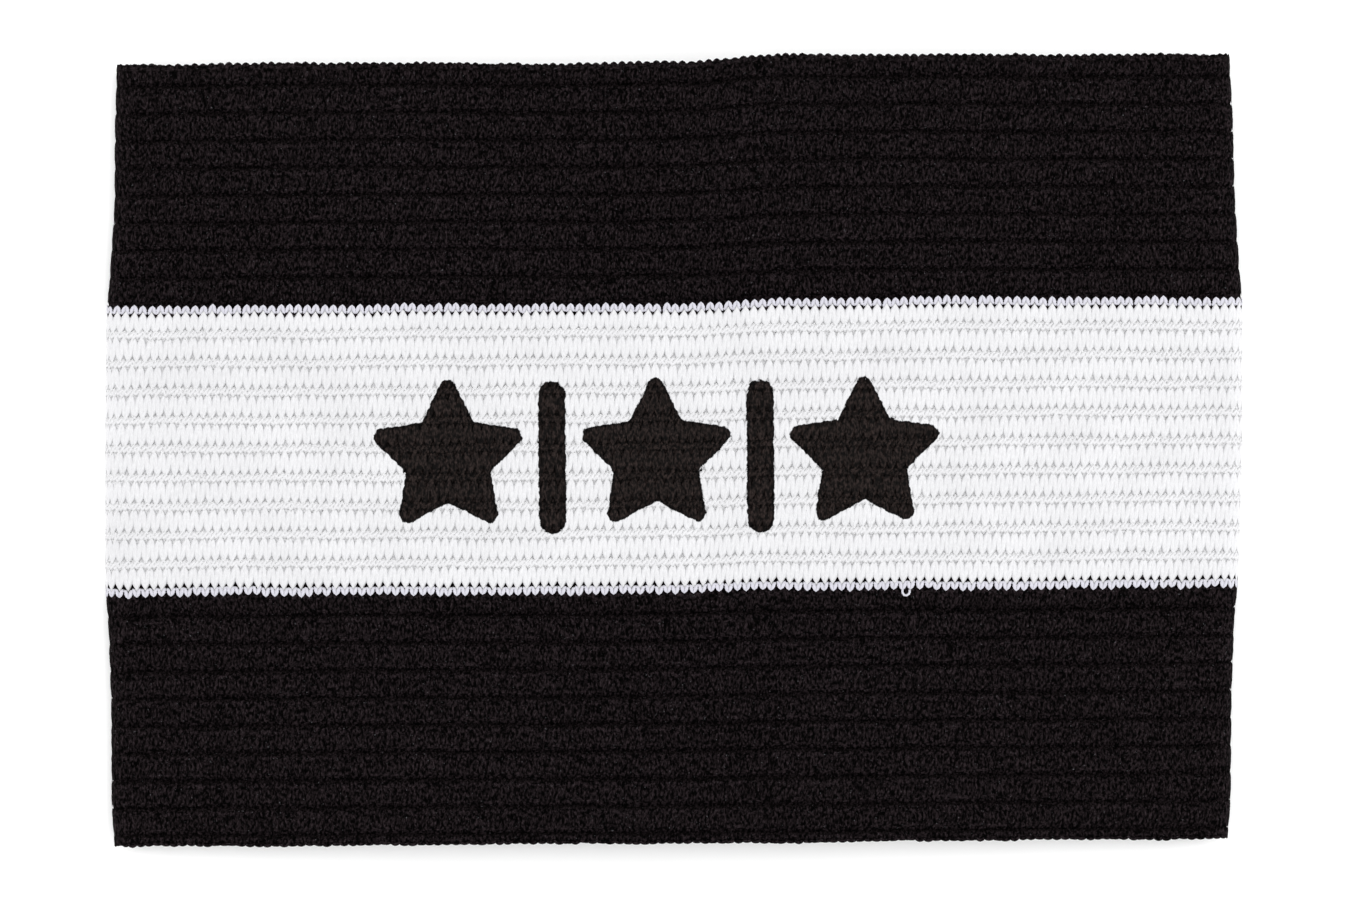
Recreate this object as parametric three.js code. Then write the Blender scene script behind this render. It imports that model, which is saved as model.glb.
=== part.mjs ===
// A captain's armband: one loop of wide knitted elastic in three colour zones, lying flat on a table.
// Millimetres. X runs along the flat loop, Y across the width of the band, Z up from the table.
// The arm goes in along Y, between the under layer on the table and the gently arched upper layer.

import * as THREE from 'three';
import { LoftGeometry } from 'three/addons/geometries/LoftGeometry.js';

// The loop as it lies
const FLAT_LENGTH = 129.5; // from fold to fold, at the widest
const WALL = 1.6; // thickness of the knitted elastic over its ribs
const FOLD_GAP = 1.3; // between the two layers where they turn into a fold
const MIDDLE_GAP = 5.6; // between the two layers under the top of the arch

// The three zones of the band, from its upper to its lower edge
const UPPER_HEIGHT = 27.4;
const WHITE_HEIGHT = 33.3;
const LOWER_HEIGHT = 28.3;
const ZONE_GAP = 0.3; // groove where two colours meet

// The knitted ribs that run round the loop
const BLACK_RIB_PITCH = 3.12;
const WHITE_RIB_PITCH = 3.27;
const UPPER_EDGE_RIB = 2.5; // the first rib below each zone's upper edge is narrower
const WHITE_EDGE_RIB = 2.15;
const LOWER_EDGE_RIB = 2.1;
const RIB_DEPTH = 0.28;
const CROWN_SHARE = 0.52; // share of a rib's width that is its flat crown
const LEAST_RIB_SHARE = 0.42; // a last rib narrower than this share of the pitch joins the one above
const SELVEDGE = 0.45; // how far a zone's rounded edge reaches in

// How far the outline leaves a plain rectangle
const EDGE_WAVE = 0.4; // rise and fall of the band's upper edge
const DRIFT = 0.5; // the upper edge is pulled to the right, the lower edge to the left

// The printed captain's mark: three round-tipped stars with a bar between each two
const STAR_POINTS = 5;
const STAR_HEIGHT = 16.4;
const STAR_TIP_RADIUS = 0.9;
const STAR_WAIST = 0.5; // share of the star's radius where its points meet
const BAR_HEIGHT = 17.4;
const BAR_WIDTH = 3.1;
const FIGURE_GAP = 1.7; // clear space between a star and a bar
const MARK_LEFT = 1.9; // the mark sits a little left of the middle
const MARK_DROP = 1.1; // and a little below the middle of the white zone
const INK_THICKNESS = 0.25;
const INK_GAP = 0.3;

// Steps round the loop
const ARCH_STEPS = 14;
const UNDER_STEPS = 6;
const FOLD_STEPS = 6;
const ARC_SEGMENTS = 6;

const FOLD_RADIUS = WALL + FOLD_GAP / 2;
const HALF_LENGTH = FLAT_LENGTH / 2;
const BAND_HEIGHT = UPPER_HEIGHT + WHITE_HEIGHT + LOWER_HEIGHT;

// Outline by height. height: share of half the band's height, from its middle. length: share of
// FLAT_LENGTH between the folds there. drift: share of DRIFT that the loop is pulled to the right.
const OUTLINE = [
  { height: -1.0, length: 0.979, drift: -1.1 },
  { height: -0.9, length: 0.984, drift: -1.0 },
  { height: -0.64, length: 0.985, drift: -0.8 },
  { height: -0.44, length: 0.99, drift: -0.65 },
  { height: -0.34, length: 0.996, drift: -0.5 },
  { height: 0.0, length: 1.0, drift: 0.2 },
  { height: 0.37, length: 0.999, drift: 0.6 },
  { height: 0.44, length: 0.994, drift: 0.65 },
  { height: 0.64, length: 0.985, drift: 0.8 },
  { height: 0.84, length: 0.983, drift: 0.75 },
  { height: 1.0, length: 0.978, drift: 0.7 },
];

// Waves of the upper edge. along: share of half the loop's length. rise: share of EDGE_WAVE.
const WAVES = [
  { along: -1.0, rise: -0.2 },
  { along: -0.8, rise: -0.2 },
  { along: -0.45, rise: -0.5 },
  { along: -0.15, rise: -1.0 },
  { along: 0.05, rise: -0.6 },
  { along: 0.16, rise: 0.9 },
  { along: 0.4, rise: 1.0 },
  { along: 0.7, rise: 0.6 },
  { along: 1.0, rise: 0.3 },
];

const BLACK_YARN = { color: 0x141113, roughness: 0.92, metalness: 0 };
const WHITE_YARN = { color: 0xeaeaec, roughness: 0.9, metalness: 0 };
const BLACK_INK = { color: 0x1e1a1a, roughness: 0.75, metalness: 0 };

// The value of one column of a table at a place between its rows.
function between(table, column, place, value) {
  const last = table.length - 1;
  if (place <= table[0][column]) return table[0][value];
  if (place >= table[last][column]) return table[last][value];
  const after = table.findIndex((row) => row[column] > place);
  const low = table[after - 1];
  const high = table[after];
  const share = (place - low[column]) / (high[column] - low[column]);
  return THREE.MathUtils.lerp(low[value], high[value], share);
}

// The arch that leaves the folds without a kink: how far it leans there, its radius and its centre.
function archOf(halfLength) {
  const reach = halfLength - FOLD_RADIUS;
  const lean = 2 * Math.atan((MIDDLE_GAP - FOLD_GAP) / reach);
  const radius = reach / Math.sin(lean) + FOLD_RADIUS;
  const centre = FOLD_RADIUS - (radius - FOLD_RADIUS) * Math.cos(lean);
  return { reach, lean, radius, centre };
}

// The stations round the loop: the stretch each is on, and how far along it from 0 to 1.
function stationsRound() {
  const stretches = [
    { name: 'under', steps: UNDER_STEPS },
    { name: 'left_fold', steps: FOLD_STEPS },
    { name: 'arch', steps: ARCH_STEPS },
    { name: 'right_fold', steps: FOLD_STEPS },
  ];
  return stretches.flatMap(({ name, steps }) =>
    Array.from({ length: steps }, (_, step) => ({ name, share: step / steps })),
  );
}

// A point of the loop's section in X and Z, at a depth below the outer face.
// The under layer is straight, each fold is an arc, and the arch is one long arc between them.
function loopPoint(station, depth, halfLength) {
  const { reach, lean, radius, centre } = archOf(halfLength);
  const quarter = Math.PI / 2;
  if (station.name === 'under') {
    return { x: THREE.MathUtils.lerp(reach, -reach, station.share), z: depth };
  }
  if (station.name === 'arch') {
    const angle = THREE.MathUtils.lerp(-lean, lean, station.share);
    return {
      x: Math.sin(angle) * (radius - depth),
      z: centre + Math.cos(angle) * (radius - depth),
    };
  }
  const side = station.name === 'left_fold' ? -1 : 1;
  const share = side < 0 ? station.share : 1 - station.share;
  const angle = THREE.MathUtils.lerp(-quarter, quarter - lean, share);
  return {
    x: side * (reach + Math.cos(angle) * (FOLD_RADIUS - depth)),
    z: FOLD_RADIUS + Math.sin(angle) * (FOLD_RADIUS - depth),
  };
}

// The grooves between a zone's ribs, counted down from its upper edge.
function groovesOf(zone) {
  const grooves = [];
  let groove = zone.top - zone.edgeRib;
  while (groove - zone.bottom > zone.pitch * LEAST_RIB_SHARE) {
    grooves.push(groove);
    groove -= zone.pitch;
  }
  return grooves;
}

// A zone's section across the band: height and depth, down its ribbed outer face and up its inner face.
function zoneProfile(zone) {
  const edges = [zone.top, ...groovesOf(zone), zone.bottom];
  const outer = [];
  for (let rib = 0; rib < edges.length - 1; rib += 1) {
    const middle = (edges[rib] + edges[rib + 1]) / 2;
    const halfCrown = ((edges[rib] - edges[rib + 1]) / 2) * CROWN_SHARE;
    if (rib > 0) outer.push({ height: edges[rib], depth: RIB_DEPTH });
    outer.push({ height: middle + halfCrown, depth: 0 });
    outer.push({ height: middle - halfCrown, depth: 0 });
  }
  const middle = (zone.bottom + zone.top) / 2;
  return [
    { height: zone.top, depth: SELVEDGE },
    ...outer,
    { height: zone.bottom, depth: SELVEDGE },
    { height: zone.bottom + SELVEDGE, depth: WALL },
    { height: middle, depth: WALL },
    { height: zone.top - SELVEDGE, depth: WALL },
  ];
}

// A profile point set round the loop at a station, with the outline's length, drift and edge wave.
function placed(point, station) {
  const heightShare = point.height / (BAND_HEIGHT / 2);
  const halfLength = HALF_LENGTH * between(OUTLINE, 'height', heightShare, 'length');
  const drift = DRIFT * between(OUTLINE, 'height', heightShare, 'drift');
  const { x, z } = loopPoint(station, point.depth, halfLength);
  const rise = EDGE_WAVE * between(WAVES, 'along', x / HALF_LENGTH, 'rise');
  const towardsTop = (1 + heightShare) / 2;
  return new THREE.Vector3(x + drift, point.height + rise * towardsTop, z);
}

// One colour zone of the loop: its profile carried once round and closed on itself.
function zoneBand(zone) {
  const profile = zoneProfile(zone);
  const sections = stationsRound().map((station) => profile.map((point) => placed(point, station)));
  const geometry = new LoftGeometry([...sections, sections[0]]);
  const mesh = new THREE.Mesh(geometry, new THREE.MeshStandardMaterial(zone.finish));
  mesh.name = zone.name;
  return mesh;
}

// A star's half turn from a tip to a waist, how far its tips' round ends are from its middle, and its width.
function starSizes() {
  const turn = Math.PI / STAR_POINTS;
  const tipCentre = (STAR_HEIGHT - 2 * STAR_TIP_RADIUS) / (1 + Math.cos(turn));
  const width = 2 * (tipCentre * Math.sin(2 * turn) + STAR_TIP_RADIUS);
  return { turn, tipCentre, width };
}

// A star with round tips. Each tip is an arc that touches the straight flanks of a sharp star.
function starOutline() {
  const { turn, tipCentre } = starSizes();
  const flankSlope = Math.atan2(STAR_WAIST * Math.sin(turn), 1 - STAR_WAIST * Math.cos(turn));
  const halfArc = Math.PI / 2 - flankSlope;
  const waistRadius = STAR_WAIST * (tipCentre + STAR_TIP_RADIUS / Math.sin(flankSlope));
  const shape = new THREE.Shape();
  for (let point = 0; point < STAR_POINTS; point += 1) {
    const direction = Math.PI / 2 + point * 2 * turn;
    const waist = direction + turn;
    shape.absarc(
      tipCentre * Math.cos(direction),
      tipCentre * Math.sin(direction),
      STAR_TIP_RADIUS,
      direction - halfArc,
      direction + halfArc,
      false,
    );
    shape.lineTo(waistRadius * Math.cos(waist), waistRadius * Math.sin(waist));
  }
  shape.closePath();
  return shape;
}

// An upright bar with round ends.
function barOutline() {
  const radius = BAR_WIDTH / 2;
  const straight = BAR_HEIGHT / 2 - radius;
  const shape = new THREE.Shape();
  shape.absarc(0, straight, radius, 0, Math.PI, false);
  shape.absarc(0, -straight, radius, Math.PI, 2 * Math.PI, false);
  shape.closePath();
  return shape;
}

// One printed figure, as a thin plate on the arch of the white zone, tilted as the arch is there.
function printedFigure(name, outline, along, height) {
  const { radius, centre } = archOf(HALF_LENGTH);
  const lift = radius + INK_GAP;
  const tilt = Math.asin(along / lift);
  const geometry = new THREE.ExtrudeGeometry(outline, {
    depth: INK_THICKNESS,
    bevelEnabled: false,
    curveSegments: ARC_SEGMENTS,
  });
  const mesh = new THREE.Mesh(geometry, new THREE.MeshStandardMaterial(BLACK_INK));
  mesh.name = name;
  mesh.position.set(along, height, centre + lift * Math.cos(tilt));
  mesh.rotation.y = tilt;
  return mesh;
}

// The mark's five figures, with the same clear space between each two.
function printedMark(middleOfWhite) {
  const barPlace = starSizes().width / 2 + FIGURE_GAP + BAR_WIDTH / 2;
  const height = middleOfWhite - MARK_DROP;
  const star = starOutline();
  const bar = barOutline();
  return [
    printedFigure('print_star_left', star, -MARK_LEFT - 2 * barPlace, height),
    printedFigure('print_bar_left', bar, -MARK_LEFT - barPlace, height),
    printedFigure('print_star_centre', star, -MARK_LEFT, height),
    printedFigure('print_bar_right', bar, -MARK_LEFT + barPlace, height),
    printedFigure('print_star_right', star, -MARK_LEFT + 2 * barPlace, height),
  ];
}

// The three zones, with half the gap between two colours taken from each.
function zonesOfBand() {
  const top = BAND_HEIGHT / 2;
  const upperBorder = top - UPPER_HEIGHT;
  const lowerBorder = LOWER_HEIGHT - top;
  const half = ZONE_GAP / 2;
  return [
    {
      name: 'upper_black_band',
      top,
      bottom: upperBorder + half,
      edgeRib: UPPER_EDGE_RIB,
      pitch: BLACK_RIB_PITCH,
      finish: BLACK_YARN,
    },
    {
      name: 'white_band',
      top: upperBorder - half,
      bottom: lowerBorder + half,
      edgeRib: WHITE_EDGE_RIB,
      pitch: WHITE_RIB_PITCH,
      finish: WHITE_YARN,
    },
    {
      name: 'lower_black_band',
      top: lowerBorder - half,
      bottom: -top,
      edgeRib: LOWER_EDGE_RIB,
      pitch: BLACK_RIB_PITCH,
      finish: BLACK_YARN,
    },
  ];
}

// The whole armband, with the middle of its footprint at the origin.
function captainArmband() {
  const zones = zonesOfBand();
  const white = zones[1];
  const loop = new THREE.Group();
  zones.forEach((zone) => loop.add(zoneBand(zone)));
  printedMark((white.top + white.bottom) / 2).forEach((figure) => loop.add(figure));
  const footprint = new THREE.Box3().setFromObject(loop).getCenter(new THREE.Vector3());
  loop.position.set(-footprint.x, -footprint.y, 0);
  return new THREE.Group().add(loop);
}

export default captainArmband();
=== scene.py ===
"""A captain's armband of wide crochet-knitted elastic, lying flat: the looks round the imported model.

Every yarn is worked out on the flat band, in millimetres: along the loop, across the band and above its
outer face. The band is then carried round the loop, which lies with its under layer on the floor.
"""

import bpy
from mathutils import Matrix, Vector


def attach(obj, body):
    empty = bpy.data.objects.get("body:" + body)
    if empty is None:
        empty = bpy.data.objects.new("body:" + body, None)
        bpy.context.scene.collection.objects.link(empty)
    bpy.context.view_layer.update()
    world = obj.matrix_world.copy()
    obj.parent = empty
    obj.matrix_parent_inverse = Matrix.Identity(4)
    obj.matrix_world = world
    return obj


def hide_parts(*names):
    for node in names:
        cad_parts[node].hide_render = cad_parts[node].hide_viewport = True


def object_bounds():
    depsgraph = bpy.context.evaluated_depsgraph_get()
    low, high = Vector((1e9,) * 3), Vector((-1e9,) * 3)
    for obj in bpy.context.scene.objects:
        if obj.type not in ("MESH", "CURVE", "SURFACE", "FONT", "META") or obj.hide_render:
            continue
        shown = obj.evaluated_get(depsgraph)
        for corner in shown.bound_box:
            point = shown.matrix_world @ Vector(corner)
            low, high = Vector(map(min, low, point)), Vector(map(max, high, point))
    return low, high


bl_info = {
    "name": "Captain armband",
    "version": (1, 0, 0),
    "blender": (4, 5, 0),
    "location": "3D View > Sidebar > Armband",
    "description": "Builds a knitted elastic armband yarn by yarn round its packed model",
    "category": "Object",
}

import bpy
import numpy as np
from bpy.props import FloatProperty, FloatVectorProperty, PointerProperty
from mathutils import Vector

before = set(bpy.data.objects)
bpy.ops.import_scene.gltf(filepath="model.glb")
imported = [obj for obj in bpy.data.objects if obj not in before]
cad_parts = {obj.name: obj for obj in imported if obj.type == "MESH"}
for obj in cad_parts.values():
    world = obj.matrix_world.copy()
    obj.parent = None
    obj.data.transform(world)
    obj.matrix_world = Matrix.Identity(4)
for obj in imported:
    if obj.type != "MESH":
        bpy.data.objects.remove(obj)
CAD_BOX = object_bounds()

MM = 0.001
MARK_NODES = (
    "print_star_left",
    "print_bar_left",
    "print_star_centre",
    "print_bar_right",
    "print_star_right",
)

# Outline by height. height: share of half the band's height, from its middle. length: share of the flat
# length between the folds there. drift: share of the drift that the loop is pulled to the right.
OUTLINE = np.array(
    [
        (-1.0, 0.979, -1.1),
        (-0.9, 0.984, -1.0),
        (-0.64, 0.985, -0.8),
        (-0.44, 0.99, -0.65),
        (-0.34, 0.996, -0.5),
        (0.0, 1.0, 0.2),
        (0.37, 0.999, 0.6),
        (0.44, 0.994, 0.65),
        (0.64, 0.985, 0.8),
        (0.84, 0.983, 0.75),
        (1.0, 0.978, 0.7),
    ],
    dtype=[("height", float), ("length", float), ("drift", float)],
)

# Waves of the upper edge. along: share of half the flat length. rise: share of the edge wave.
WAVES = np.array(
    [
        (-1.0, -0.2),
        (-0.8, -0.2),
        (-0.45, -0.5),
        (-0.15, -1.0),
        (0.05, -0.6),
        (0.16, 0.9),
        (0.4, 1.0),
        (0.7, 0.6),
        (1.0, 0.3),
    ],
    dtype=[("along", float), ("rise", float)],
)

# Slow waves that keep the stitches from a perfect grid. turns: whole waves round the loop. across: how
# fast a wave turns with the height, in radians per millimetre. share: of the unevenness.
UNEVEN = np.array(
    [(5, 0.11, 1.0), (13, -0.23, 0.8), (31, 0.4, 0.6), (57, 0.9, 0.5)],
    dtype=[("turns", float), ("across", float), ("share", float)],
)

# Which sizes say how uneven a yarn is across the band, along it and outwards.
UNEVEN_SIZES = ("jitter", "jitter", "lift_jitter")

# The ground under a row. row: share of the row, down from its groove. sunk: share of the weft thickness
# that it lies below the ribs' face there; it is higher under the chains than under the bundles.
GROUND = np.array(
    [(0.0, 0.55), (0.28, 0.55), (0.34, 0.75), (0.5, 0.85), (0.82, 0.85), (0.97, 0.75)],
    dtype=[("row", float), ("sunk", float)],
)

# A loop of the white border, from one foot to the other; its feet meet the next loops' feet. across: share
# of the stitch pitch. reach: share of the loop's height. lift: share of the weft thickness, above the
# ground that the loop lies on. width: share of the loop's yarn width.
BORDER_LOOP = np.array(
    [
        (-0.5, -0.05, -0.15, 0.7),
        (-0.3, 0.0, -0.2, 0.8),
        (-0.25, 0.36, 0.0, 1.05),
        (-0.14, 0.76, 0.2, 0.85),
        (0.0, 1.0, 0.1, 0.6),
        (0.14, 0.76, 0.2, 0.85),
        (0.25, 0.36, 0.0, 1.05),
        (0.3, 0.0, -0.2, 0.8),
        (0.5, -0.05, -0.15, 0.7),
    ],
    dtype=[("across", float), ("reach", float), ("lift", float), ("width", float)],
)

# Lengths in millimetres that only fit the pieces to each other. Lifts are counted from the ribs' face.
BORDER_GROUND = 1.75  # how far the black grounds reach under the white zone's edges
BORDER_LIFT = -0.2  # lift of the ground that the border's loops lie on
GROUND_STOP = 0.35  # how far the black grounds stop short of the band's edges
INNER_STOP = 0.25  # how far a ground's inner face stops short of the ground's edges
DRAWN_DEPTH = 0.9  # depth down to which yarns are drawn out round the folds
EDGE_RISE = 0.15  # how far the outer of an edge's two yarns stands past the band's edge
EDGE_LIFTS = (-0.4, -1.15)  # lifts of an edge's outer and inner yarn
SEAM_ROWS = (-1.4, 1.4)  # places of the joining seam's two rows along the band
SEAM_PITCH = 0.55  # from one turn of the seam's yarn to the next
SEAM_SWING = 0.8  # from the middle of a row of the seam to its turns
SEAM_ENDS = (0.8, 0.6)  # how far the seam stops short of the lower and the upper edge
SEAM_LIFT = -0.17  # lift of the seam's yarn
THIN_YARN = (0.26, 0.24)  # width and thickness of the seam's yarn and of the loose end
LOOSE_PLACE = (26.8, -0.15)  # the loose end, right of the loop's middle and above the white zone's edge
PATTERN_STEP = 7.3  # how far apart a piece's yarns are in the pattern of their filaments
FLOOR_DROP = 0.2  # how far the floor is below the model
FLOOR_WIDTH = 3000.0

# The lower edge's scallops, as a share of the upper edge's picots.
LOWER_PICOT = 0.3

# Steps of a ground along the loop: half the under layer, a fold, the arch, a fold, half the under layer.
GROUND_STEPS = (18, 14, 84, 14, 18)

# The "mark" distance where there is no print, in millimetres.
NO_PRINT = 9.0

# The loose end of white yarn below the white zone, in millimetres round the place where it comes out.
LOOSE_END = np.array(
    [
        (-0.3, 0.5, -0.5),
        (-0.42, 0.2, -0.1),
        (-0.4, -0.12, 0.05),
        (-0.2, -0.36, 0.08),
        (0.08, -0.4, 0.08),
        (0.32, -0.24, 0.08),
        (0.42, 0.02, 0.0),
        (0.4, 0.2, -0.15),
    ],
    dtype=[("along", float), ("height", float), ("lift", float)],
)


def millimetres(name, value, description):
    """A property that holds a length, given in millimetres and kept in metres."""
    return FloatProperty(
        name=name, description=description, default=value * MM, unit="LENGTH", precision=5
    )


def seen(name, value, description):
    """A property that holds a colour, given as an sRGB hex value and kept as it is seen."""
    parts = tuple(int(value[i : i + 2], 16) / 255 for i in (0, 2, 4))
    return FloatVectorProperty(
        name=name,
        description=description,
        default=parts,
        subtype="COLOR_GAMMA",
        size=3,
        min=0,
        max=1,
    )


class LoopSizes(bpy.types.PropertyGroup):
    """The loop of elastic as it lies."""

    flat_length: millimetres("Flat length", 129.5, "From fold to fold, at the widest")
    wall: millimetres("Wall", 1.6, "Thickness of the knitted elastic over its ribs")
    fold_gap: millimetres("Fold gap", 1.3, "Between the two layers where they turn into a fold")
    middle_gap: millimetres("Middle gap", 5.6, "Between the two layers under the top of the arch")
    upper_height: millimetres("Upper zone", 27.4, "Height of the upper black zone")
    white_height: millimetres("White zone", 33.3, "Height of the white zone")
    lower_height: millimetres("Lower zone", 28.3, "Height of the lower black zone")
    edge_wave: millimetres("Edge wave", 0.4, "Rise and fall of the upper edge")
    drift: millimetres("Drift", 0.5, "How far the band's edges are pulled sideways")


class KnitSizes(bpy.types.PropertyGroup):
    """The knit: how far apart its stitches and rows are, and how thick its yarns."""

    stitch: millimetres("Stitch pitch", 1.0, "From one stitch to the next round the loop")
    black_row: millimetres("Black row pitch", 3.12, "From one rib to the next in the black zones")
    white_row: millimetres("White row pitch", 3.27, "From one rib to the next in the white zone")
    upper_first: millimetres("Upper first groove", 2.5, "Below the upper zone's upper edge")
    white_first: millimetres("White first groove", 2.9, "Below the white zone's upper edge")
    lower_first: millimetres("Lower first groove", 2.25, "Below the lower zone's upper edge")
    black_groove: millimetres("Black groove", 0.8, "Depth of the grooves in the black zones")
    white_groove: millimetres("White groove", 0.1, "Depth of the grooves in the white zone")
    black_weft: millimetres("Black weft", 0.62, "Width of a black weft bundle")
    white_weft: millimetres("White weft", 0.75, "Width of a white weft bundle")
    black_turn: millimetres("Black turn", 0.62, "Width of a black weft bundle where it turns")
    white_turn: millimetres("White turn", 1.05, "Width of a white weft bundle where it turns")
    border_turn: millimetres("Border turn", 0.56, "Width of a weft bundle where it turns at a border")
    weft_thickness: millimetres("Weft thickness", 0.34, "Thickness of a weft bundle")
    tuck: millimetres("Tuck", 0.3, "How far the weft's turns are tucked under the chains")
    clear: millimetres("Clear", 0.2, "How far the black weft's lower turns stay clear of the grooves")
    chain_width: millimetres("Chain width", 0.6, "Width of a chain yarn")
    chain_inset: millimetres("Chain inset", 0.12, "From a chain's edge to the middle of its yarns' turns")
    chain_thickness: millimetres("Chain thickness", 0.12, "Thickness of a chain yarn")
    edge_width: millimetres("Edge width", 0.36, "Width of the yarns along the band's edges")
    loop_width: millimetres("Loop width", 0.5, "Width of the yarn in the border's loops")
    loop_height: millimetres("Loop height", 0.72, "From a border loop's foot to the middle of its tip")
    loop_space: millimetres("Loop space", 0.06, "From the feet of the border's loops to the weft's turns")
    picot: millimetres("Picot", 0.54, "Height of the small loops of the upper edge")
    swell: millimetres("Swell", 0.1, "How far the face stands prouder round the folds")
    uneven: millimetres("Unevenness", 0.05, "How far slow waves pull rows and columns about")
    jitter: millimetres("Jitter", 0.04, "How far single stitches are out of line")
    lift_jitter: millimetres("Lift jitter", 0.015, "How far single stitches stand out or lie in")
    drawn_out: FloatProperty(
        name="Drawn out",
        description="Share of their depth that yarns below the face are drawn out by round the folds",
        default=0.9,
        subtype="FACTOR",
    )
    leaf_share: FloatProperty(
        name="Leaf share",
        description="Share of a row where its weft bundles show",
        default=0.685,
        subtype="FACTOR",
    )
    slant: FloatProperty(
        name="Slant",
        description="How far the columns of stitches lean to the right on their way up",
        default=0.035,
        subtype="FACTOR",
    )


class MarkSizes(bpy.types.PropertyGroup):
    """The printed captain's mark: three stars with a bar between each two."""

    star_height: millimetres("Star height", 16.4, "Height of a star")
    tip_radius: millimetres("Tip radius", 0.9, "Radius of a star's tips")
    bar_height: millimetres("Bar height", 17.4, "Height of a bar")
    bar_width: millimetres("Bar width", 3.1, "Width of a bar")
    figure_gap: millimetres("Figure gap", 1.7, "Clear space between a star and a bar")
    left: millimetres("Left", 1.9, "How far the mark is left of the middle")
    drop: millimetres("Drop", 1.1, "How far the mark is below the middle of the white zone")
    waist: FloatProperty(
        name="Star waist",
        description="Share of a star's radius where its points meet",
        default=0.5,
        subtype="FACTOR",
    )


class Finishes(bpy.types.PropertyGroup):
    """Colours of the yarns, the ink and the floor."""

    black_yarn: seen("Black yarn", "0b0809", "Black textured polyester")
    white_yarn: seen("White yarn", "cbcbcd", "White textured polyester")
    loop_yarn: seen("Loop yarn", "c0bfc8", "White yarn of the border's loops, a little lilac")
    ink: seen("Ink", "0e0a09", "Black screen-print ink")
    floor: seen("Floor", "f8f8f8", "White paper that the armband lies on")


class View(bpy.types.PropertyGroup):
    """The camera straight above the armband, and how it frames it."""

    frame_width: millimetres("Frame width", 153.9, "Width of what the picture shows")
    aim_height: millimetres("Aim height", 2.3, "Height of the fold that the frame is measured at")
    aside: millimetres("Aside", 0.11, "How far the picture's middle is right of and below the loop's")
    lens: FloatProperty(name="Lens", description="Focal length in millimetres", default=400.0)
    sensor: FloatProperty(name="Sensor", description="Sensor width in millimetres", default=36.0)
    roll: FloatProperty(
        name="Roll",
        description="How far the band is turned in the picture",
        default=0.0075,
        subtype="ANGLE",
    )


GROUPS = {
    "armband_loop": LoopSizes,
    "armband_knit": KnitSizes,
    "armband_mark": MarkSizes,
    "armband_finish": Finishes,
    "armband_view": View,
}


def sizes(group):
    """A group's lengths in millimetres, and its other numbers as they are, as a dict."""
    held = getattr(bpy.context.scene, group)
    numbers = [p for p in held.bl_rna.properties if p.type == "FLOAT" and not p.is_array]
    return {
        p.identifier: getattr(held, p.identifier) / (MM if p.unit == "LENGTH" else 1)
        for p in numbers
    }


class Zone:
    """One colour zone of the band: its edges, and the rows of its knit counted down from the top.

    border is how far its rows stop short of its edges, to leave room for loops or edge yarns.
    """

    def __init__(self, top, bottom, first, pitch, grooves, chains, depth, width, turn, tuck, border):
        knit = sizes("armband_knit")
        self.top, self.bottom, self.pitch, self.depth = top, bottom, pitch, depth
        self.width, self.turn = width, turn
        self.groove = first - pitch * np.arange(grooves)
        leaf = pitch * knit["leaf_share"]
        chain = first - pitch * np.arange(*chains)
        inset = knit["chain_inset"]
        chain = [chain - inset, chain - pitch + leaf + inset]
        self.chain = np.clip(chain, bottom + border + inset, top - border - inset)
        weft = [self.groove + leaf + knit["tuck"], self.groove - tuck]
        self.weft = np.clip(weft, bottom + border, top - border)

    def relief(self, height):
        """Lift of the ribbed face: -depth * cos^10 of the way from one groove to the next."""
        return -self.depth * np.cos(np.pi * (height - self.groove[0]) / self.pitch) ** 10

    def ground(self, bottom, top, thickness):
        """Heights and lifts of the ground between two heights, upwards, by the GROUND table."""
        rows = np.arange(-1, len(self.groove) + 1)[:, None] + GROUND["row"]
        height = (self.groove[0] - self.pitch * rows).ravel()[::-1]
        inside = (height > bottom + 0.1) & (height < top - 0.1)
        height = np.concatenate([[bottom], height[inside], [top]])
        row = (self.groove[0] - height) / self.pitch % 1.0
        sunk = np.interp(row, GROUND["row"], GROUND["sunk"])
        return height, self.relief(height) - sunk * thickness


def border_reach():
    """From the white zone's edge, where the tips of the border's loops are, to the loops' feet."""
    knit = sizes("armband_knit")
    return knit["loop_height"] + knit["loop_width"] * BORDER_LOOP["width"].min() / 2


def band_zones():
    """The three colour zones by name."""
    loop, knit = sizes("armband_loop"), sizes("armband_knit")
    top = (loop["upper_height"] + loop["white_height"] + loop["lower_height"]) / 2
    upper, lower = top - loop["upper_height"], loop["lower_height"] - top
    black, white = (knit["black_row"], 9), (knit["white_row"], 10)
    ribbed = knit["black_groove"], knit["black_weft"], knit["black_turn"], -knit["clear"]
    flat = knit["white_groove"], knit["white_weft"], knit["white_turn"], knit["tuck"]
    edge, border = knit["edge_width"], border_reach() + knit["loop_space"]
    return {
        "upper_black": Zone(top, upper, top - knit["upper_first"], *black, (-1, 8), *ribbed, edge),
        "white": Zone(upper, lower, upper - knit["white_first"], *white, (0, 9), *flat, border),
        "lower_black": Zone(lower, -top, lower - knit["lower_first"], *black, (0, 9), *ribbed, edge),
    }


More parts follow.
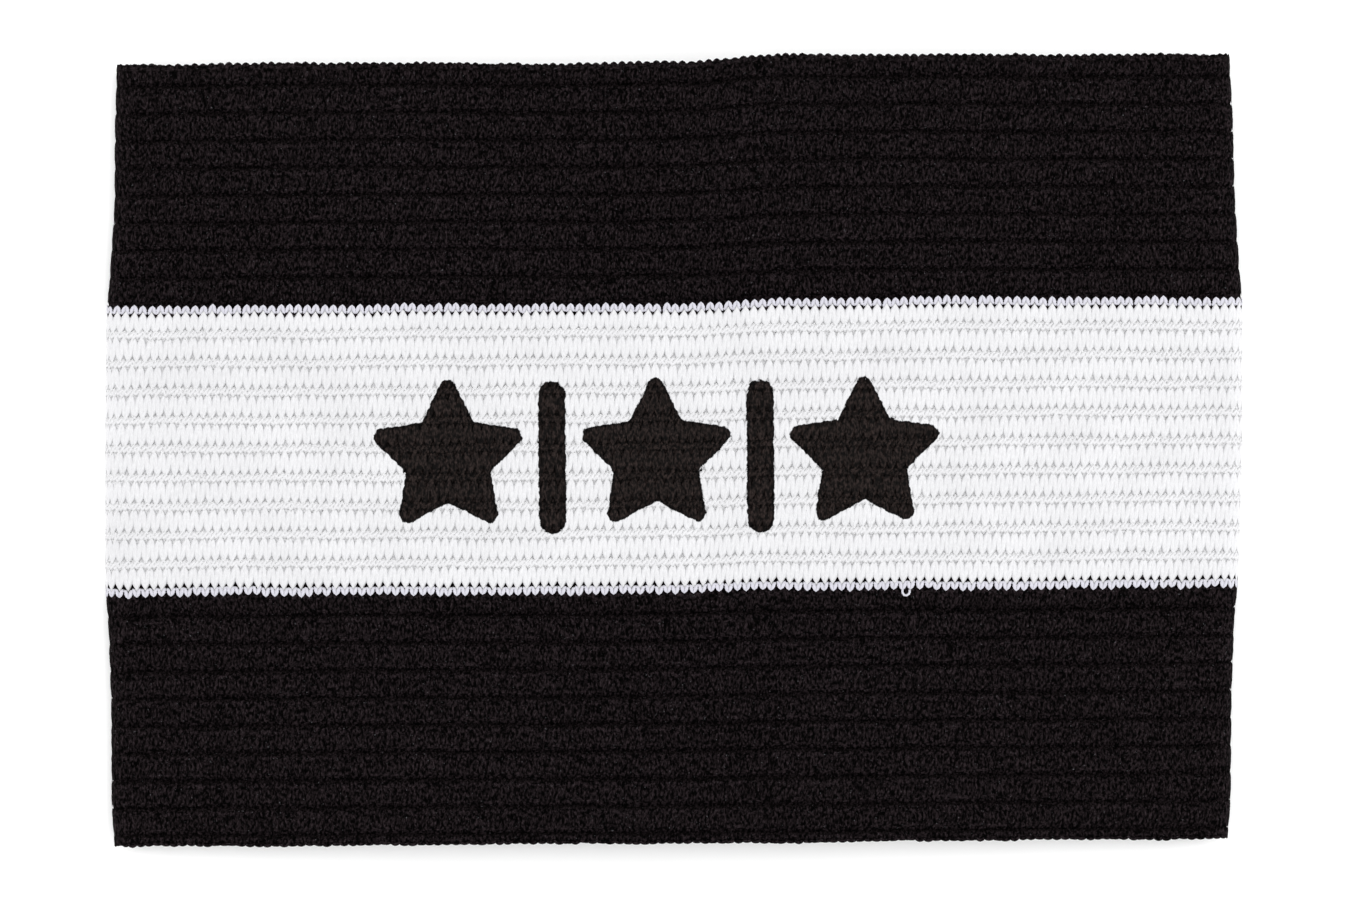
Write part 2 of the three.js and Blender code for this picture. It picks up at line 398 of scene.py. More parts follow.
class Loop:
    """The loop's shape: it turns places on the flat band into points in the model's frame."""

    def __init__(self):
        loop, knit = sizes("armband_loop"), sizes("armband_knit")
        self.half = loop["flat_length"] / 2
        self.fold = loop["wall"] + loop["fold_gap"] / 2
        self.opening = loop["middle_gap"] - loop["fold_gap"]
        self.wall, self.drift, self.wave = loop["wall"], loop["drift"], loop["edge_wave"]
        self.height = loop["upper_height"] + loop["white_height"] + loop["lower_height"]
        self.uneven, self.slant = knit["uneven"], knit["slant"]
        self.swell, self.drawn_out = knit["swell"], knit["drawn_out"]
        reach, bend, over, _, _ = self.stretches(self.half)
        self.length = 2 * (reach + bend + over)
        self.stitches = round(self.length / knit["stitch"])
        right = self.drift_at(OUTLINE["height"]) + self.half * OUTLINE["length"]
        left = self.drift_at(OUTLINE["height"]) - self.half * OUTLINE["length"]
        self.middle = (right.max() + left.min()) / 2, self.wave * WAVES["rise"].max() / 2

    def stretches(self, half):
        """Half the loop by its stretches: under layer, fold and arch, then the arch's radius and centre."""
        reach = half - self.fold
        lean = 2 * np.arctan(self.opening / reach)
        radius = reach / np.sin(lean) + self.fold
        centre = self.fold - (radius - self.fold) * np.cos(lean)
        return reach, self.fold * (np.pi - lean), lean * radius, radius, centre

    def drift_at(self, share):
        """How far the loop is pulled to the right at a share of half its height, by the OUTLINE table."""
        return self.drift * np.interp(share, OUTLINE["height"], OUTLINE["drift"])

    def pull(self, stitch, height, phase):
        """How far slow waves pull a place: sines of the way round the loop and of the height, added up."""
        turn = 2 * np.pi * stitch / self.stitches
        waves = [
            share * np.sin(turns * (turn + phase) + across * height)
            for turns, across, share in UNEVEN
        ]
        return self.uneven * sum(waves)

    def knitted(self, stitch, height):
        """Places on the band for a stitch count and a height, slanted and pulled about by slow waves."""
        along = stitch * self.length / self.stitches + self.slant * height
        return along + self.pull(stitch, height, 1.0), height + self.pull(stitch, height, 2.3)

    def place(self, along, height, lift):
        """Points in metres for places along the loop, across the band and above its outer face.

        From the seam under the middle, each half goes straight to its fold, round the fold and over the
        arch. point = centre of the stretch + (radius + lift + swell * sin^2 angle + drawn * sin angle) *
        normal, with the normal's angle counted from straight down, and drawn for what lies below the
        face, as a stretched knit is flatter. The point is then pulled sideways by the drift and raised
        by the edge wave.
        """
        share = 2 * height / self.height
        half = self.half * np.interp(share, OUTLINE["height"], OUTLINE["length"])
        reach, bend, over, radius, centre = self.stretches(half)
        turn = (along / self.length) % 1.0
        side = np.where(turn < 0.5, -1.0, 1.0)
        way = np.minimum(turn, 1.0 - turn) * 2 * (reach + bend + over)
        past = way - reach - bend
        angle = np.clip(way - reach, 0, bend) / self.fold + np.maximum(past, 0) / radius
        drawn = self.drawn_out * np.clip(-lift, 0, DRAWN_DEPTH)
        swelling = self.swell * np.sin(angle) ** 2 + drawn * np.sin(angle)
        bow = np.where(past > 0, radius, self.fold) + lift + swelling
        x = np.where(past > 0, 0, side * np.minimum(way, reach)) + side * np.sin(angle) * bow
        z = np.where(past > 0, centre, self.fold) - np.cos(angle) * bow
        rise = self.wave * np.interp(x / self.half, WAVES["along"], WAVES["rise"]) * (1 + share) / 2
        x = x + self.drift_at(share) - self.middle[0]
        return np.stack([x, height + rise - self.middle[1], z], axis=-1) * MM


def unit(vectors):
    """Vectors of length one."""
    return vectors / np.linalg.norm(vectors, axis=-1, keepdims=True)


def tubes(paths, width, thickness, sides, ring=0.0):
    """Oval yarns along paths on the flat band, as a grid of places: yarn, station, side.

    place = path + width / 2 * cos(angle) * across + thickness / 2 * sin(angle) * up, where across is
    the path's direction x the band's normal, and up is square to both. ring is the length of the loop
    for yarns that close on themselves round it.
    """
    before, after = np.roll(paths, 1, axis=1), np.roll(paths, -1, axis=1)
    if ring:
        before[:, 0, 0] -= ring
        after[:, -1, 0] += ring
    else:
        before[:, 0], after[:, -1] = paths[:, 0], paths[:, -1]
    ahead = unit(after - before)
    across = unit(np.cross(ahead, (0.0, 0.0, 1.0)))
    up = np.cross(across, ahead)
    angle = np.arange(sides)[:, None] * 2 * np.pi / sides
    oval = width / 2 * np.cos(angle) * across[:, :, None] + thickness / 2 * np.sin(angle) * up[:, :, None]
    return paths[:, :, None] + oval


def mark_distance(points):
    """Signed distance in millimetres from points, in metres, to the edge of the printed mark.

    A bar's distance is that to its middle line less its radius. A star is folded onto half of one of
    its points: the distance to the line from tip to waist, less the tips' radius. It is NO_PRINT on the
    under layer, below four tenths of the model's height.
    """
    mark, loop = sizes("armband_mark"), sizes("armband_loop")
    turn = np.pi / 5
    radius = mark["tip_radius"]
    tip = (mark["star_height"] - 2 * radius) / (1 + np.cos(turn))
    waist = mark["waist"] * tip * np.array([np.cos(turn), np.sin(turn)])
    bar_place = tip * np.sin(2 * turn) + radius + mark["figure_gap"] + mark["bar_width"] / 2
    middle_x, middle_y = Loop().middle
    x = points[..., 0] / MM + middle_x + mark["left"]
    y = points[..., 1] / MM + middle_y + mark["drop"]
    y = y - (loop["lower_height"] - loop["upper_height"]) / 2
    straight = (mark["bar_height"] - mark["bar_width"]) / 2
    end = np.maximum(np.abs(y) - straight, 0)
    bars = np.hypot(np.abs(x) - bar_place, end) - mark["bar_width"] / 2
    star_x = x - 2 * bar_place * np.clip(np.round(x / (2 * bar_place)), -1, 1)
    folded = np.arctan2(star_x, y)
    folded = np.abs((folded + turn) % (2 * turn) - turn)
    distance = np.hypot(star_x, y)
    place = np.stack([distance * np.cos(folded) - tip, distance * np.sin(folded)], axis=-1)
    flank = waist - np.array([tip, 0.0])
    share = np.clip(place @ flank / (flank @ flank), 0, 1)
    gap = place - share[..., None] * flank
    inside = flank[0] * place[..., 1] - flank[1] * place[..., 0] > 0
    stars = np.where(inside, -1, 1) * np.linalg.norm(gap, axis=-1) - radius
    on_top = points[..., 2] > 0.4 * CAD_BOX[1].z
    return np.where(on_top, np.minimum(bars, stars), NO_PRINT)


def put_in(name, grid, ring, material):
    """A closed mesh of a grid of places on the flat band: yarn, station, side, carried round the loop.

    Yarns that close round the loop join their last station to their first; others get a flat cap at
    each end. The map "Yarn" holds millimetres along the yarn and round it, and the attribute "mark"
    the distance to the edge of the print.
    """
    yarns, stations, sides = grid.shape[:3]
    index = np.arange(yarns * stations * sides).reshape(yarns, stations, sides)
    ahead, beside = np.roll(index, -1, axis=1), np.roll(index, -1, axis=2)
    quads = np.stack([index, ahead, np.roll(ahead, -1, axis=2), beside], axis=-1)
    middle = grid.mean(axis=2)
    along = np.linalg.norm(np.diff(middle, axis=1, append=middle[:, -1:]), axis=-1)
    if ring:
        along[:, -1] = along[:, :-1].mean()
    starts = np.cumsum(along, axis=1) - along
    girth = np.linalg.norm(np.roll(grid, -1, axis=2) - grid, axis=-1).mean(axis=(0, 1))
    rounds = np.concatenate([[0], np.cumsum(girth)])
    u = np.stack([starts, starts + along, starts + along, starts], axis=-1)[:, :, None, :]
    v = np.stack([rounds[:-1], rounds[:-1], rounds[1:], rounds[1:]], axis=-1)
    u = u + PATTERN_STEP * np.arange(yarns)[:, None, None, None]
    uv = np.stack(np.broadcast_arrays(u, v), axis=-1)
    if not ring:
        quads, uv = quads[:, :-1], uv[:, :-1]
    corners, maps, counts = [quads.ravel()], [uv.reshape(-1, 2)], [np.full(quads.size // 4, 4)]
    if not ring:
        caps = np.concatenate([index[:, 0], index[:, -1, ::-1]])
        corners.append(caps.ravel())
        maps.append(np.zeros((caps.size, 2)))
        counts.append(np.full(len(caps), sides))
    corners, maps, counts = (np.concatenate(parts) for parts in (corners, maps, counts))
    points = Loop().place(grid[..., 0], grid[..., 1], grid[..., 2]).reshape(-1, 3)

    mesh = bpy.data.meshes.new(name)
    mesh.vertices.add(len(points))
    mesh.vertices.foreach_set("co", points.ravel())
    mesh.loops.add(len(corners))
    mesh.loops.foreach_set("vertex_index", corners.astype(np.int32))
    mesh.polygons.add(len(counts))
    mesh.polygons.foreach_set("loop_start", (np.cumsum(counts) - counts).astype(np.int32))
    mesh.update(calc_edges=True)
    mesh.uv_layers.new(name="Yarn").data.foreach_set("uv", maps.ravel())
    mesh.attributes.new("mark", "FLOAT", "POINT").data.foreach_set("value", mark_distance(points))
    mesh.shade_smooth()
    if mesh.validate():
        raise RuntimeError(f"{name} is not a sound mesh")
    mesh.materials.append(material)
    piece = bpy.data.objects.new(name, mesh)
    bpy.context.collection.objects.link(piece)
    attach(piece, "root")
    return piece


def ragged(rng, yarns, stitches, samples, size):
    """Random numbers along yarns: a new one each half stitch, and straight lines between them."""
    knots = rng.normal(0, size, (yarns, 2 * stitches))
    place = np.arange(stitches * samples) * 2 / samples
    low = place.astype(int)
    share = place - low
    return knots[:, low] * (1 - share) + knots[:, (low + 1) % (2 * stitches)] * share


def swing(stitch):
    """A zigzag with rounded turns, 1 at whole stitches and -1 halfway: arcsin(0.95 cos) over its peak."""
    return np.arcsin(0.95 * np.cos(2 * np.pi * stitch)) / np.arcsin(0.95)


def weft_rows(zone, samples, sides, seed):
    """Weft bundles that lie side by side in each row: a zigzag from the row's top to its groove.

    height = middle + half the row * swing. The bundle dives under the chains at both of its turns, and
    spreads to their width with swing squared, or narrows so to the outer turns of the first and last
    rows.
    """
    loop, knit = Loop(), sizes("armband_knit")
    rng = np.random.default_rng(seed)
    top, bottom = zone.weft[:, :, None]
    count = len(top)
    stitch = np.arange(loop.stitches * samples) / samples
    uneven = [ragged(rng, count, loop.stitches, samples, knit[size]) for size in UNEVEN_SIZES]
    wave = swing(stitch)
    height = (top + bottom) / 2 + (top - bottom) / 2 * wave + uneven[0]
    dive = knit["weft_thickness"] * (0.5 + 0.08 * wave**4)
    along, raised = loop.knitted(stitch + uneven[1], height)
    lift = zone.relief(height) - dive + uneven[2]
    paths = np.stack([along, raised, lift], axis=-1)
    outer = np.zeros((count, wave.size))
    outer[0], outer[-1] = np.maximum(wave, 0) ** 2, np.minimum(wave, 0) ** 2
    spread = zone.width + (zone.turn - zone.width) * wave**2
    width = spread - (spread - knit["border_turn"]) * outer
    return tubes(paths, width[:, :, None, None], knit["weft_thickness"], sides, loop.length)


def chain_rows(zone, sides, seed):
    """Chain yarns that hold the weft down between two rows: two zigzags that cross over and under.

    The first swings over the whole chain, from its top halfway between two stitches; the second swings
    the other way over six tenths of it. Each dives under the other once a stitch, by a sine.
    """
    loop, knit = Loop(), sizes("armband_knit")
    rng = np.random.default_rng(seed)
    top, bottom = np.repeat(zone.chain, 2, axis=1)[:, :, None]
    count = len(top)
    way = np.where(np.arange(count) % 2 == 0, -1.0, 0.6)[:, None]
    stitch = np.arange(loop.stitches * 4) / 4
    uneven = [ragged(rng, count, loop.stitches, 4, knit[size]) for size in UNEVEN_SIZES]
    height = (top + bottom) / 2 + (top - bottom) / 2 * way * swing(stitch) + uneven[0]
    over = 0.15 * np.sign(way) * np.sin(2 * np.pi * stitch)
    along, raised = loop.knitted(stitch + uneven[1], height)
    lift = zone.relief(height) - knit["chain_thickness"] * (0.5 + over) + uneven[2]
    paths = np.stack([along, raised, lift], axis=-1)
    return tubes(paths, knit["chain_width"], knit["chain_thickness"], sides, loop.length)


def border_loops(base, way, start, seed):
    """Loops of the white border, one a stitch, from their feet at base upwards (way 1) or down (way -1)."""
    loop, knit = Loop(), sizes("armband_knit")
    rng = np.random.default_rng(seed)
    uneven = rng.normal(0, knit["jitter"], (3, loop.stitches, 1))
    path = BORDER_LOOP if way > 0 else BORDER_LOOP[::-1]
    stitch = np.arange(loop.stitches)[:, None] + start + path["across"] + uneven[0]
    height = base + way * knit["loop_height"] * path["reach"] * (1 + 2 * uneven[1]) + uneven[2]
    along, raised = loop.knitted(stitch, height)
    lift = np.broadcast_to(BORDER_LIFT + knit["weft_thickness"] * path["lift"], along.shape)
    paths = np.stack([along, raised, lift], axis=-1)
    width = knit["loop_width"] * path["width"][None, :, None, None]
    return tubes(paths, width, knit["weft_thickness"], 5)


def edge_yarn(edge, way, picot, lift, seed):
    """A yarn that runs along an edge of the band in scallops: picot * |cos|^0.8 of half a turn a stitch."""
    loop, knit = Loop(), sizes("armband_knit")
    rng = np.random.default_rng(seed)
    samples = 6
    stitch = np.arange(loop.stitches * samples) / samples
    uneven = [ragged(rng, 1, loop.stitches, samples, knit["jitter"]) for _ in range(2)]
    scallop = np.abs(np.cos(np.pi * stitch)) ** 0.8
    height = edge - way * (knit["edge_width"] / 2 + picot * (1 - scallop)) + uneven[0]
    along, raised = loop.knitted(stitch, height)
    paths = np.stack([along, raised, lift + uneven[1]], axis=-1)
    return tubes(paths, knit["edge_width"], 1.4 * knit["edge_width"], 5, loop.length)


def ground_cloth(zone, top, bottom):
    """The knitted ground under the yarns of a zone, as one closed ring of one section.

    The section goes up the ribbed outer face, which lies below the yarns, and down the inner face, whose
    ribs are a quarter as deep. Its stations lie close together in the folds.
    """
    loop, knit = Loop(), sizes("armband_knit")
    reach, bend, over, _, _ = loop.stretches(loop.half)
    ends = np.cumsum([0, reach, bend, 2 * over, bend, reach])
    spans = zip(ends[:-1], ends[1:], GROUND_STEPS)
    along = np.concatenate([np.linspace(a, b, n, endpoint=False) for a, b, n in spans])
    up, outer = zone.ground(bottom, top, knit["weft_thickness"])
    rows = round((top - bottom) / zone.pitch)
    down = np.linspace(top - INNER_STOP, bottom + INNER_STOP, 2 * rows + 1)
    inner = -loop.wall + 0.25 * zone.depth + 0.25 * zone.relief(down)
    height = np.concatenate([up, down])
    lift = np.concatenate([outer, inner])
    grid = np.broadcast_arrays(along[:, None], height, lift)
    return np.stack(grid, axis=-1)[None]


def seam_yarns():
    """Zigzag stitches up the underside's middle, where the band's two ends are sewn together."""
    loop = Loop()
    height = np.arange(SEAM_ENDS[0] - loop.height / 2, loop.height / 2 - SEAM_ENDS[1], SEAM_PITCH)
    side = np.where(np.arange(len(height)) % 2 == 0, -1.0, 1.0)
    lift = np.full(len(height), SEAM_LIFT)
    paths = [np.stack([row + SEAM_SWING * side, height, lift], axis=-1) for row in SEAM_ROWS]
    return tubes(np.array(paths), *THIN_YARN, 5)


def linear(colour):
    """An sRGB colour as linear RGBA: c / 12.92 below 0.04045, else ((c + 0.055) / 1.055) ^ 2.4."""
    seen_as = np.array(colour)
    low, high = seen_as / 12.92, ((seen_as + 0.055) / 1.055) ** 2.4
    return (*np.where(seen_as <= 0.04045, low, high), 1.0)


def node(tree, kind, inputs, **settings):
    """Add a node with its settings. inputs are values, or sockets to link, by input name or number."""
    made = tree.nodes.new("ShaderNode" + kind)
    for name, value in settings.items():
        setattr(made, name, value)
    for name, value in inputs.items():
        if isinstance(value, bpy.types.NodeSocket):
            tree.links.new(value, made.inputs[name])
        else:
            made.inputs[name].default_value = value
    return made


def new_material(name):
    """An empty material, its node tree and its output."""
    material = bpy.data.materials.new(name)
    material.use_nodes = True
    tree = material.node_tree
    tree.nodes.clear()
    return material, tree, tree.nodes.new("ShaderNodeOutputMaterial")


def fibres(tree, strength):
    """Filaments of a textured yarn: the bumped normal, their height from 0 to 1, and the place.

    Streaks 0.5 mm long and 0.1 mm wide run along the "Yarn" map, and finer fuzz lies over them.
    """
    yarn = node(tree, "UVMap", {}, uv_map="Yarn").outputs["UV"]
    place = node(tree, "TexCoord", {}).outputs["Object"]
    stretched = node(tree, "Mapping", {"Vector": yarn, "Scale": (2.0, 10.0, 1.0)})
    streaks = node(tree, "TexNoise", {"Vector": stretched.outputs[0], "Scale": 1.0, "Detail": 2.0})
    fine = {"Vector": place, "Scale": 1 / (0.12 * MM), "Detail": 3.0, "Roughness": 0.65}
    fuzz = node(tree, "TexNoise", fine)
    both = {"Fac": 0.4, "Color1": streaks.outputs["Fac"], "Color2": fuzz.outputs["Fac"]}
    high = node(tree, "MixRGB", both)
    raised = {"Strength": strength, "Distance": 0.06 * MM, "Height": high.outputs["Color"]}
    bump = node(tree, "Bump", raised)
    return bump.outputs["Normal"], high.outputs["Color"], place


def painted_glints(tree, place, high, spread):
    """Painted glints and painted shade to multiply a dark yarn's colour by: its streaks times upright
    tufts, lighter where the tufts would catch the light and darker between them.

    The tufts are 0.28 mm wide and 0.48 mm tall. spread is how far the streaks' shade strays from one; a
    tuft's is as much darker at the least, and 3.8 times as much lighter at the most.
    """
    streak_glint = node(tree, "MapRange", {"Value": high, 1: 0.38, 2: 0.62, 3: 1 - spread, 4: 1 + spread})
    per_tuft = (1 / (0.28 * MM), 1 / (0.48 * MM), 1 / (0.35 * MM))
    upright = node(tree, "Mapping", {"Vector": place, "Scale": per_tuft})
    coarse = {"Vector": upright.outputs[0], "Scale": 1.0, "Detail": 2.0, "Roughness": 0.6}
    tufts = node(tree, "TexNoise", coarse).outputs["Fac"]
    tuft_glint = node(tree, "MapRange", {"Value": tufts, 1: 0.42, 2: 0.63, 3: 1 - spread, 4: 1 + 3.8 * spread})
    return node(tree, "Math", {0: streak_glint.outputs[0], 1: tuft_glint.outputs[0]}, operation="MULTIPLY").outputs[0]


def shaded(tree, colour, shade):
    """A colour multiplied by a shade of grey, as a socket."""
    both = {"Fac": 1.0, "Color1": linear(colour), "Color2": shade}
    return node(tree, "MixRGB", both, blend_type="MULTIPLY").outputs["Color"]


def white_knit(name, colour, ink):
    """White polyester yarn with the mark printed on it.

    Textured yarn: loose filaments scatter the light, so it looks chalky and soft; painted shade darkens its
    colour where the filaments' height is low, in the creases between them. The print is a thin film that
    coats the yarns: near black, a little smoother, and darkest along its edge where the stencil leaves the
    most ink, with painted glints and painted shade over its streaks and tufts. The edge follows the "mark"
    attribute, broken up by the filaments.
    """
    material, tree, output = new_material(name)
    normal, high, place = fibres(tree, 0.5)
    broad = node(tree, "TexNoise", {"Vector": place, "Scale": 170.0, "Detail": 2.0})
    tone = node(tree, "MapRange", {"Value": broad.outputs["Fac"], 1: 0.3, 2: 0.7, 3: 0.95, 4: 1.0})
    # painted shade: the white yarn's colour is darkened down to 0.82 where the filaments' height is low, in
    # the creases between them
    painted_crease_shade = node(tree, "MapRange", {"Value": high, 1: 0.35, 2: 0.62, 3: 0.82, 4: 1.0})
    shade = node(tree, "Math", {0: tone.outputs[0], 1: painted_crease_shade.outputs[0]}, operation="MULTIPLY")
    cloth = node(
        tree,
        "BsdfPrincipled",
        {
            "Base Color": shaded(tree, colour, shade.outputs[0]),
            "Roughness": 0.88,
            "Specular IOR Level": 0.2,
            "Sheen Weight": 1.0,
            "Sheen Roughness": 0.3,
            "Normal": normal,
        },
    )
    mark = node(tree, "Attribute", {}, attribute_name="mark")
    frayed = node(tree, "MapRange", {"Value": high, 1: 0.3, 2: 0.7, 3: -0.06, 4: 0.06})
    ripple = node(tree, "TexNoise", {"Vector": place, "Scale": 1 / (0.7 * MM), "Detail": 1.0})
    rippled = node(tree, "MapRange", {"Value": ripple.outputs["Fac"], 1: 0.3, 2: 0.7, 3: -0.08, 4: 0.08})
    rough = node(tree, "Math", {0: frayed.outputs[0], 1: rippled.outputs[0]}, operation="ADD")
    edge = node(tree, "Math", {0: mark.outputs["Fac"], 1: rough.outputs[0]}, operation="ADD")
    printed = node(tree, "MapRange", {"Value": edge.outputs[0], 1: -0.04, 2: 0.04, 3: 1.0, 4: 0.0})
    rim = node(tree, "MapRange", {"Value": edge.outputs[0], 1: -0.35, 2: -0.1, 3: 1.0, 4: 0.25})
    # painted glints and painted shade on the ink film: its colour is made lighter on streaks and tufts and
    # darker between them
    uneven = painted_glints(tree, place, high, 0.75)
    depth = node(tree, "Math", {0: rim.outputs[0], 1: uneven}, operation="MULTIPLY")
    coat = node(
        tree,
        "BsdfPrincipled",
        {
            "Base Color": shaded(tree, ink, depth.outputs[0]),
            "Roughness": 0.62,
            "Specular IOR Level": 0.05,
            "Normal": normal,
        },
    )
    mixed = node(tree, "MixShader", {0: printed.outputs[0], 1: cloth.outputs[0], 2: coat.outputs[0]})
    tree.links.new(mixed.outputs[0], output.inputs["Surface"])
    return material


def black_knit(name, colour):
    """Black polyester yarn.

    Solution-dyed yarn that swallows the light between its fibres: almost no gloss, a faint warm fuzz at
    a grazing angle, as over the folds, and a few specks of pale lint about 0.3 mm across. Its colour
    carries painted glints on streaks and tufts, and painted shade between them.
    """
    material, tree, output = new_material(name)
    normal, high, place = fibres(tree, 0.9)
    # painted glints and painted shade: the black colour is made lighter on streaks and tufts and darker
    # between them
    painted_glint_colour = shaded(tree, colour, painted_glints(tree, place, high, 0.95))
    dust = node(tree, "TexNoise", {"Vector": place, "Scale": 3200.0, "Detail": 2.0, "Roughness": 0.7})
    speck = node(tree, "MapRange", {"Value": dust.outputs["Fac"], 1: 0.68, 2: 0.76, 3: 0.0, 4: 1.0})
    lint = {"Fac": speck.outputs[0], "Color1": painted_glint_colour, "Color2": linear((0.3, 0.3, 0.31))}
    linted = node(tree, "MixRGB", lint)
    cloth = node(
        tree,
        "BsdfPrincipled",
        {
            "Base Color": linted.outputs["Color"],
            "Roughness": 0.85,
            "Specular IOR Level": 0.02,
            "Sheen Weight": 0.004,
            "Sheen Roughness": 0.4,
            "Sheen Tint": linear((1.0, 0.93, 0.86)),
            "Normal": normal,
        },
    )
    tree.links.new(cloth.outputs[0], output.inputs["Surface"])
    return material


def paper_floor(name, colour):
    """White coated paper: matt and even, with a grain too fine to see from the camera."""
    material, tree, output = new_material(name)
    place = node(tree, "TexCoord", {}).outputs["Object"]
    grain = node(tree, "TexNoise", {"Vector": place, "Scale": 2500.0, "Detail": 2.0})
    bump = node(tree, "Bump", {"Strength": 0.1, "Distance": 0.02 * MM, "Height": grain.outputs["Fac"]})
    paper = node(
        tree,
        "BsdfPrincipled",
        {
            "Base Color": linear(colour),
            "Roughness": 0.9,
            "Specular IOR Level": 0.2,
            "Normal": bump.outputs["Normal"],
        },
    )
    tree.links.new(paper.outputs[0], output.inputs["Surface"])
    return material


WHITE = "White knitted polyester, screen-printed"
BORDER = "White border yarn"
BLACK = "Black knitted polyester"


def finish_of(name):
    """The armband's material of that name, made once and then shared by its pieces."""
    made = bpy.data.materials.get(name)
    if made:
        return made
    held = bpy.context.scene.armband_finish
    if name == WHITE:
        return white_knit(name, held.white_yarn, held.ink)
    if name == BORDER:
        return white_knit(name, held.loop_yarn, held.ink)
    return black_knit(name, held.black_yarn)


# Square softboxes that face the armband: name, place in metres, size in metres, energy in watts. The two
# at the sides stand low, so that they light the folds more than the top.
SOFTBOXES = (
    ("Top softbox", (0.2, 0.3, 1.7), 1.2, 9.0),
    ("Left softbox", (-1.2, 0.0, 0.4), 0.6, 3.5),
    ("Right softbox", (1.2, 0.1, 0.4), 0.6, 5.0),
)

# Strength of the even white light from all round.
WORLD_LIGHT = 1.3


class ARMBAND_OT_white_zone(bpy.types.Operator):
    """Knit the white zone: its ground, weft bundles, chains and the loops of its two borders"""

    bl_idname = "armband.white_zone"
    bl_label = "White zone"

    def execute(self, context):
        zone = band_zones()["white"]
        loop = Loop()
        ground = ground_cloth(zone, zone.top - BORDER_GROUND, zone.bottom + BORDER_GROUND)
        cloth = put_in("white_ground", ground, True, finish_of(WHITE))
        grid = weft_rows(zone, samples=6, sides=6, seed=11)
        weft = put_in("white_weft", grid, True, finish_of(WHITE))
        grid = chain_rows(zone, sides=4, seed=12)
        chain = put_in("white_chain", grid, True, finish_of(WHITE))
        upper = border_loops(zone.top - border_reach(), way=1, start=0.0, seed=13)
        lower = border_loops(zone.bottom + border_reach(), way=-1, start=0.5, seed=14)
        grid = np.concatenate([upper, lower])
        borders = put_in("white_border_loops", grid, False, finish_of(BORDER))
        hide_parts("white_band", *MARK_NODES)
        return {"FINISHED"}


class ARMBAND_OT_black_zones(bpy.types.Operator):
    """Knit the two black zones: their grounds, weft bundles, chains and edge yarns"""

    bl_idname = "armband.black_zones"
    bl_label = "Black zones"

    def execute(self, context):
        zones, loop, knit = band_zones(), Loop(), sizes("armband_knit")
        white = zones["white"]
        spans = {
            "upper_black": (zones["upper_black"].top - GROUND_STOP, white.top - BORDER_GROUND, 1),
            "lower_black": (white.bottom + BORDER_GROUND, zones["lower_black"].bottom + GROUND_STOP, -1),
        }
        for seed, (name, (top, bottom, way)) in enumerate(spans.items()):
            zone = zones[name]
            black = finish_of(BLACK)
            grid = ground_cloth(zone, top, bottom)
            cloth = put_in(name + "_ground", grid, True, black)
            grid = weft_rows(zone, samples=4, sides=4, seed=21 + seed)
            weft = put_in(name + "_weft", grid, True, black)
            grid = chain_rows(zone, sides=4, seed=31 + seed)
            chain = put_in(name + "_chain", grid, True, black)
            edge = zone.top if way > 0 else zone.bottom
            picot = knit["picot"] * (1 if way > 0 else LOWER_PICOT)
            outer = edge_yarn(edge + EDGE_RISE * way, way, picot, EDGE_LIFTS[0], 41 + seed)
            inner = edge_yarn(edge, way, picot, EDGE_LIFTS[1], 41 + seed)
            grid = np.concatenate([outer, inner])
            edges = put_in(name + "_edge", grid, True, black)
            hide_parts(name + "_band")
        return {"FINISHED"}


class ARMBAND_OT_small_yarns(bpy.types.Operator):
    """Sew the joining seam under the loop, and leave a loose end of yarn below the white zone"""

    bl_idname = "armband.small_yarns"
    bl_label = "Seam and loose end"

    def execute(self, context):
        loop = Loop()
        put_in("joining_seam", seam_yarns(), False, finish_of(BLACK))
        along = loop.length / 2 + LOOSE_PLACE[0] + LOOSE_END["along"]
        height = band_zones()["white"].bottom + LOOSE_PLACE[1] + LOOSE_END["height"]
        path = np.stack([along, height, LOOSE_END["lift"]], axis=-1)[None]
        grid = tubes(path, *THIN_YARN, 6)
        put_in("loose_yarn_end", grid, False, finish_of(BORDER))
        return {"FINISHED"}


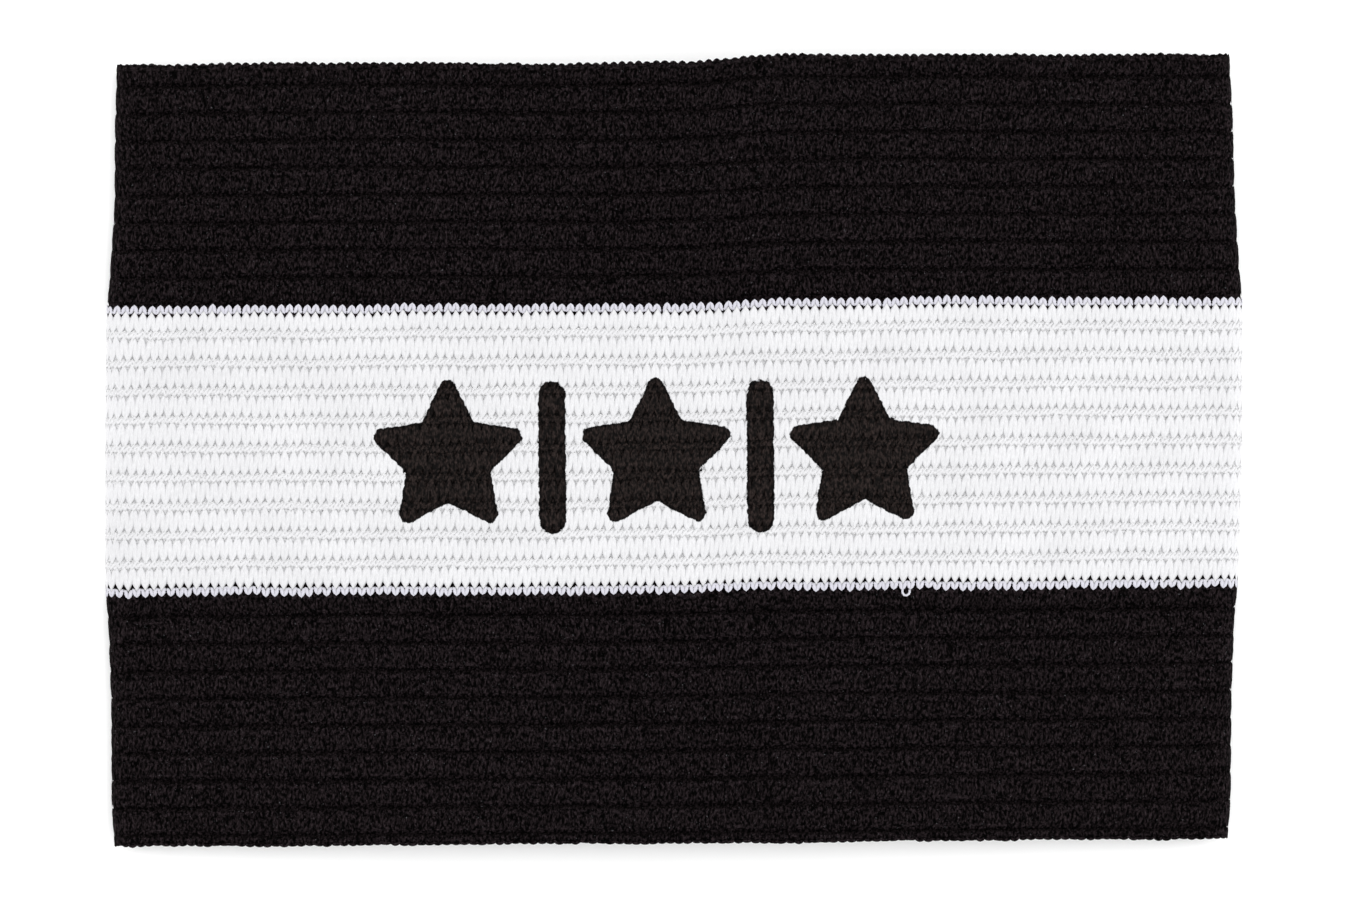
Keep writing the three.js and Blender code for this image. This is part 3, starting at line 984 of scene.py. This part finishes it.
class ARMBAND_OT_stage(bpy.types.Operator):
    """Lay the paper floor, and set the soft light and the camera"""

    bl_idname = "armband.stage"
    bl_label = "Floor, light and camera"

    def execute(self, context):
        scene = context.scene
        finish, view = scene.armband_finish, sizes("armband_view")

        reach, down = FLOOR_WIDTH / 2 * MM, -FLOOR_DROP * MM
        corners = [(-reach, -reach), (reach, -reach), (reach, reach), (-reach, reach)]
        mesh = bpy.data.meshes.new("paper_floor")
        mesh.from_pydata([(x, y, down) for x, y in corners], [], [(0, 1, 2, 3)])
        mesh.materials.append(paper_floor("White coated paper", finish.floor))
        floor = bpy.data.objects.new("paper_floor", mesh)
        context.collection.objects.link(floor)

        world = bpy.data.worlds.new("Studio")
        world.use_nodes = True
        world.node_tree.nodes["Background"].inputs["Color"].default_value = (1.0, 1.0, 1.0, 1.0)
        world.node_tree.nodes["Background"].inputs["Strength"].default_value = WORLD_LIGHT
        scene.world = world

        for name, place, size, energy in SOFTBOXES:
            lamp = bpy.data.lights.new(name, "AREA")
            lamp.size, lamp.energy = size, energy
            softbox = bpy.data.objects.new(name, lamp)
            softbox.location = place
            softbox.rotation_euler = Vector(place).to_track_quat("Z", "Y").to_euler()
            context.collection.objects.link(softbox)

        lens = bpy.data.cameras.new("Camera")
        lens.lens, lens.sensor_width = view["lens"], view["sensor"]
        lens.clip_start, lens.clip_end = 0.01, 10.0
        camera = bpy.data.objects.new("Camera", lens)
        away = view["frame_width"] * view["lens"] / view["sensor"] + view["aim_height"]
        camera.location = (view["aside"] * MM, -view["aside"] * MM, away * MM)
        camera.rotation_euler = (0.0, 0.0, -view["roll"])
        context.collection.objects.link(camera)
        scene.camera = camera
        scene.view_settings.view_transform = "Standard"
        return {"FINISHED"}


STEPS = (
    ARMBAND_OT_white_zone,
    ARMBAND_OT_black_zones,
    ARMBAND_OT_small_yarns,
    ARMBAND_OT_stage,
)


class ARMBAND_PT_panel(bpy.types.Panel):
    """The steps that build the armband, in their order"""

    bl_idname = "ARMBAND_PT_panel"
    bl_label = "Captain armband"
    bl_space_type = "VIEW_3D"
    bl_region_type = "UI"
    bl_category = "Armband"

    def draw(self, context):
        for step in STEPS:
            self.layout.operator(step.bl_idname)


def register():
    """Register the sizes, the steps and the panel."""
    for group in GROUPS.values():
        bpy.utils.register_class(group)
    for name, group in GROUPS.items():
        setattr(bpy.types.Scene, name, PointerProperty(type=group))
    for step in (*STEPS, ARMBAND_PT_panel):
        bpy.utils.register_class(step)


def unregister():
    """Take back what register() did."""
    for step in (ARMBAND_PT_panel, *reversed(STEPS)):
        bpy.utils.unregister_class(step)
    for name, group in GROUPS.items():
        delattr(bpy.types.Scene, name)
        bpy.utils.unregister_class(group)


def main():
    """Build every piece in order."""
    register()
    bpy.ops.armband.stage()
    bpy.ops.armband.white_zone()
    bpy.ops.armband.black_zones()
    bpy.ops.armband.small_yarns()


if __name__ == "__main__":
    main()
